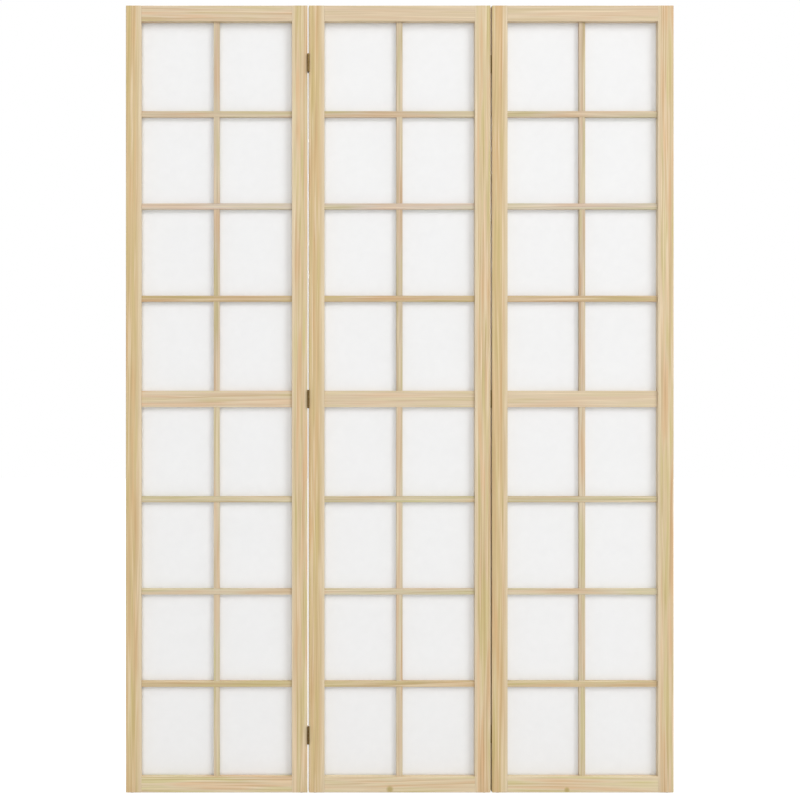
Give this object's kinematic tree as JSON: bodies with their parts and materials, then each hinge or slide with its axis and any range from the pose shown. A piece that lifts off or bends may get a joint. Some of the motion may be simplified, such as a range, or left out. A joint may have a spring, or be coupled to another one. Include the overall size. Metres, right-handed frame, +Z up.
{
  "type": "shoji folding screen",
  "caption": "Free-standing folding room divider: pine frames with a square lattice over white paper, joined edge to edge by butt hinges so that the panels fold in a zigzag.",
  "frame": {"origin": "on the floor under the screen's middle, at the centre of the flat screen's footprint", "axes": "+X to the viewer's right along the flat screen, +Y away from the viewer, +Z up"},
  "size_m": [1.182, 0.0308, 1.7],
  "materials": {
    "frame_pine": "planed pine, clear satin lacquer",
    "lattice_pine": "planed pine, clear satin lacquer",
    "shoji_paper": "matt long-fibre shoji paper",
    "hinge_bronze": "antique bronze plating",
    "glide_nylon": "matt moulded nylon"
  },
  "bodies": {
    "middle_panel": {"middle_panel_left_stile": "frame_pine", "middle_panel_right_stile": "frame_pine", "middle_panel_top_rail": "frame_pine", "middle_panel_middle_rail": "lattice_pine", "middle_panel_bottom_rail": "frame_pine", "middle_panel_lower_vertical_muntin": "lattice_pine", "middle_panel_upper_vertical_muntin": "lattice_pine", "middle_panel_horizontal_muntin_1": "lattice_pine", "middle_panel_horizontal_muntin_2": "lattice_pine", "middle_panel_horizontal_muntin_3": "lattice_pine", "middle_panel_horizontal_muntin_4": "lattice_pine", "middle_panel_horizontal_muntin_5": "lattice_pine", "middle_panel_horizontal_muntin_6": "lattice_pine", "middle_panel_paper": "shoji_paper", "middle_panel_left_glide": "glide_nylon", "middle_panel_right_glide": "glide_nylon", "left_lower_hinge_pin_leaf": "hinge_bronze", "left_middle_hinge_pin_leaf": "hinge_bronze", "left_upper_hinge_pin_leaf": "hinge_bronze", "right_lower_hinge_pin_leaf": "hinge_bronze", "right_middle_hinge_pin_leaf": "hinge_bronze", "right_upper_hinge_pin_leaf": "hinge_bronze"},
    "left_panel": {"left_panel_left_stile": "frame_pine", "left_panel_right_stile": "frame_pine", "left_panel_top_rail": "frame_pine", "left_panel_middle_rail": "lattice_pine", "left_panel_bottom_rail": "frame_pine", "left_panel_lower_vertical_muntin": "lattice_pine", "left_panel_upper_vertical_muntin": "lattice_pine", "left_panel_horizontal_muntin_1": "lattice_pine", "left_panel_horizontal_muntin_2": "lattice_pine", "left_panel_horizontal_muntin_3": "lattice_pine", "left_panel_horizontal_muntin_4": "lattice_pine", "left_panel_horizontal_muntin_5": "lattice_pine", "left_panel_horizontal_muntin_6": "lattice_pine", "left_panel_paper": "shoji_paper", "left_panel_left_glide": "glide_nylon", "left_panel_right_glide": "glide_nylon", "left_lower_hinge_free_leaf": "hinge_bronze", "left_middle_hinge_free_leaf": "hinge_bronze", "left_upper_hinge_free_leaf": "hinge_bronze"},
    "right_panel": {"right_panel_left_stile": "frame_pine", "right_panel_right_stile": "frame_pine", "right_panel_top_rail": "frame_pine", "right_panel_middle_rail": "lattice_pine", "right_panel_bottom_rail": "frame_pine", "right_panel_lower_vertical_muntin": "lattice_pine", "right_panel_upper_vertical_muntin": "lattice_pine", "right_panel_horizontal_muntin_1": "lattice_pine", "right_panel_horizontal_muntin_2": "lattice_pine", "right_panel_horizontal_muntin_3": "lattice_pine", "right_panel_horizontal_muntin_4": "lattice_pine", "right_panel_horizontal_muntin_5": "lattice_pine", "right_panel_horizontal_muntin_6": "lattice_pine", "right_panel_paper": "shoji_paper", "right_panel_left_glide": "glide_nylon", "right_panel_right_glide": "glide_nylon", "right_lower_hinge_free_leaf": "hinge_bronze", "right_middle_hinge_free_leaf": "hinge_bronze", "right_upper_hinge_free_leaf": "hinge_bronze"}
  },
  "joints": [
    {"name": "left_fold", "type": "hinge", "parent": "middle_panel", "child": "left_panel", "pos_m": [-0.1975, -0.0128, 0.851], "axis": [0, 0, 1], "range_deg": [0, 180]},
    {"name": "right_fold", "type": "hinge", "parent": "middle_panel", "child": "right_panel", "pos_m": [0.1975, 0.0128, 0.851], "axis": [0, 0, 1], "range_deg": [0, 180]}
  ]
}
